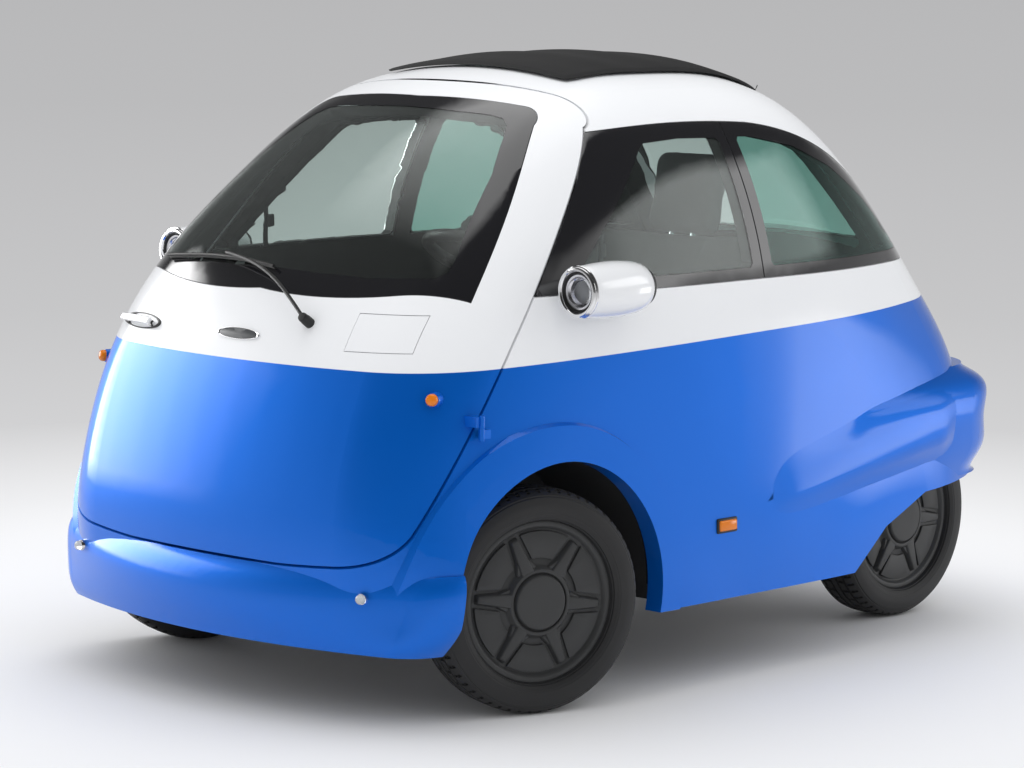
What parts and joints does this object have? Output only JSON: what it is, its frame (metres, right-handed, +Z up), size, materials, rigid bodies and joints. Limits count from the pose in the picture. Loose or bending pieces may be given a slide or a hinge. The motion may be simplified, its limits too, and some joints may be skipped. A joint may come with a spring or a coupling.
{
  "type": "microcar",
  "caption": "Two-seat microcar whose whole front is a side-hinged door, with a cloth roof panel, lamp pods and a narrow rear track.",
  "frame": {"origin": "on the ground at the middle of the length and width", "axes": "+Z up, the car faces -Y, its left side is +X"},
  "size_m": [1.5128, 2.4367, 1.4791],
  "materials": {
    "paint": "glossy blue below, white above",
    "cloth": "black cloth",
    "glass": "tinted",
    "clear_lens": "clear",
    "mirror": "silvered",
    "amber_lens": "amber",
    "red_lens": "red",
    "black_steel": "satin black",
    "black_plastic": "grained",
    "cover_plastic": "matt dark grey",
    "plate": "blank plate",
    "chrome": "polished",
    "tyre": "rubber"
  },
  "bodies": {
    "body": {"body_left": "paint", "body_right": "paint", "roof_frame": "paint", "rear_bumper": "paint", "front_bumper": "paint", "canvas_roof": "cloth", "side_window_left": "glass", "side_window_right": "glass", "quarter_windows": "glass", "pod_left": "paint", "pod_right": "paint", "pod_lamps": "clear_lens", "mirror_glasses": "mirror", "side_markers": "amber_lens", "bumper_lamps": "clear_lens", "floor_pan": "black_steel", "wheel_liners": "black_plastic", "motor_block": "black_steel", "battery_block": "black_plastic", "seat_cushion": "cloth", "seat_back": "cloth", "steering_column": "black_plastic", "tail_lamps": "red_lens", "number_plate": "plate", "front_axle": "black_steel", "rear_axle": "black_steel", "door_hinge_pin": "black_steel", "tailgate_hinge_pins": "black_steel"},
    "front_door": {"front_door": "paint", "windshield": "glass", "dashboard": "black_plastic", "wiper": "black_plastic", "door_handle": "chrome", "door_indicators": "amber_lens", "charge_flap": "paint"},
    "tailgate": {"tailgate": "paint", "rear_window": "glass"},
    "steering_wheel": {"steering_wheel": "black_plastic"},
    "knuckle_left": {"knuckle_left": "black_steel"},
    "knuckle_right": {"knuckle_right": "black_steel"},
    "wheel_front_left": {"wheel_front_left": "cover_plastic", "tyre_front_left": "tyre"},
    "wheel_front_right": {"wheel_front_right": "cover_plastic", "tyre_front_right": "tyre"},
    "wheel_rear_left": {"wheel_rear_left": "cover_plastic", "tyre_rear_left": "tyre"},
    "wheel_rear_right": {"wheel_rear_right": "cover_plastic", "tyre_rear_right": "tyre"}
  },
  "joints": [
    {"name": "front_door_hinge", "type": "hinge", "parent": "body", "child": "front_door", "pos_m": [0.643, -0.913, 0.68], "axis": [0, 0, 1], "range_deg": [0, 75]},
    {"name": "tailgate_hinge", "type": "hinge", "parent": "body", "child": "tailgate", "pos_m": [0, 0.577, 1.333], "axis": [1, 0, 0], "range_deg": [0, 65]},
    {"name": "steer_left", "type": "hinge", "parent": "body", "child": "knuckle_left", "pos_m": [0.545, -0.688, 0.262], "axis": [0, 0, 1], "range_deg": [-12, 48]},
    {"name": "steer_right", "type": "hinge", "parent": "body", "child": "knuckle_right", "pos_m": [-0.545, -0.688, 0.262], "axis": [0, 0, 1], "range_deg": [-12, 48]},
    {"name": "steering_wheel_turn", "type": "hinge", "parent": "body", "child": "steering_wheel", "pos_m": [0.285, -0.51, 0.985], "axis": [0, 0.44, 0.898], "range_deg": [-168, 672]},
    {"name": "spin_front_left", "type": "hinge", "parent": "knuckle_left", "child": "wheel_front_left", "pos_m": [0.59065, -0.70283, 0.262], "axis": [0.9511, -0.309, 0], "continuous": true},
    {"name": "spin_front_right", "type": "hinge", "parent": "knuckle_right", "child": "wheel_front_right", "pos_m": [-0.59065, -0.67317, 0.262], "axis": [0.9511, -0.309, 0], "continuous": true},
    {"name": "spin_rear_left", "type": "hinge", "parent": "body", "child": "wheel_rear_left", "pos_m": [0.422, 0.85, 0.262], "axis": [1, 0, 0], "continuous": true},
    {"name": "spin_rear_right", "type": "hinge", "parent": "body", "child": "wheel_rear_right", "pos_m": [-0.422, 0.85, 0.262], "axis": [1, 0, 0], "continuous": true}
  ],
  "couplings": [
    {"joint": "steer_right", "follows": "steer_left", "ratio": 1},
    {"joint": "steering_wheel_turn", "follows": "steer_left", "ratio": 14}
  ]
}
